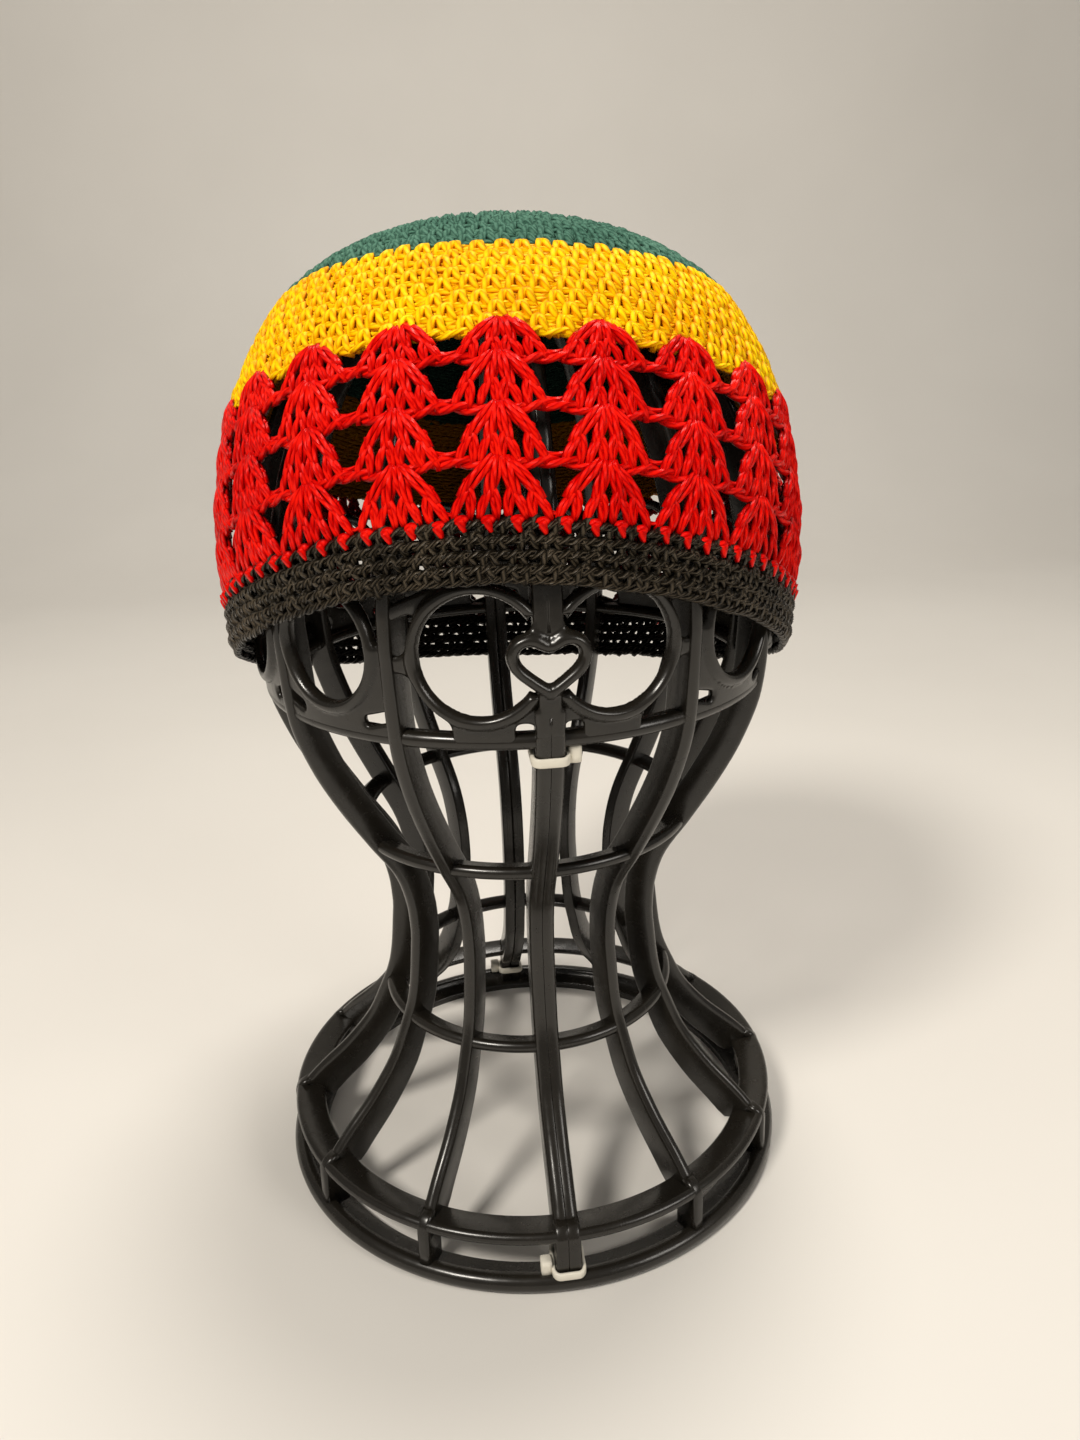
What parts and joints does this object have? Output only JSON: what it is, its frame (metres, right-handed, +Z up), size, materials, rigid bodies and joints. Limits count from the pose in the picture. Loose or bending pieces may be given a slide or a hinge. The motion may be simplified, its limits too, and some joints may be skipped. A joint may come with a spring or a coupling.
{
  "type": "crocheted rasta tam on a rib-and-ring hat stand",
  "caption": "Round crocheted tam with a striped crown, a pierced shell-stitch band and a ribbed rim, sitting tilted back on an open rib-and-ring stand.",
  "frame": {"origin": "on the surface the stand rests on, at the middle of the whole object's box", "axes": "+Z up along the stand's axis; the front rib and the lifted side of the rim face -Y"},
  "size_m": [0.1894, 0.2026, 0.3254],
  "materials": {
    "green_yarn": "matt spun cotton, single crochet",
    "yellow_yarn": "mercerised cotton, single crochet",
    "red_yarn": "mercerised cotton, shell stitch",
    "black_yarn": "mercerised cotton, ribbed crochet",
    "black_plastic": "moulded, glossy",
    "white_plastic": "satin nylon"
  },
  "bodies": {
    "root": {"crown": "green_yarn", "yellow_band": "yellow_yarn", "red_lace": "red_yarn", "black_rim": "black_yarn", "foot_ring": "black_plastic", "base_ring": "black_plastic", "waist_ring": "black_plastic", "jaw_ring": "black_plastic", "brow_ring": "black_plastic", "rib_01": "black_plastic", "rib_02": "black_plastic", "rib_03": "black_plastic", "rib_04": "black_plastic", "rib_05": "black_plastic", "rib_07": "black_plastic", "rib_08": "black_plastic", "rib_09": "black_plastic", "rib_10": "black_plastic", "rib_11": "black_plastic", "rib_front_left": "black_plastic", "rib_front_right": "black_plastic", "rib_back_left": "black_plastic", "rib_back_right": "black_plastic", "rib_front_left_top": "black_plastic", "rib_front_right_top": "black_plastic", "brow_loop_01": "black_plastic", "brow_loop_02": "black_plastic", "brow_loop_03": "black_plastic", "brow_loop_04": "black_plastic", "brow_loop_05": "black_plastic", "brow_loop_06": "black_plastic", "brow_loop_07": "black_plastic", "brow_loop_08": "black_plastic", "brow_loop_09": "black_plastic", "brow_loop_10": "black_plastic", "brow_loop_11": "black_plastic", "brow_loop_12": "black_plastic", "brow_heart": "black_plastic", "top_disc": "black_plastic", "tie_brow": "white_plastic", "tie_front_foot": "white_plastic", "tie_back_foot": "white_plastic"}
  },
  "joints": []
}
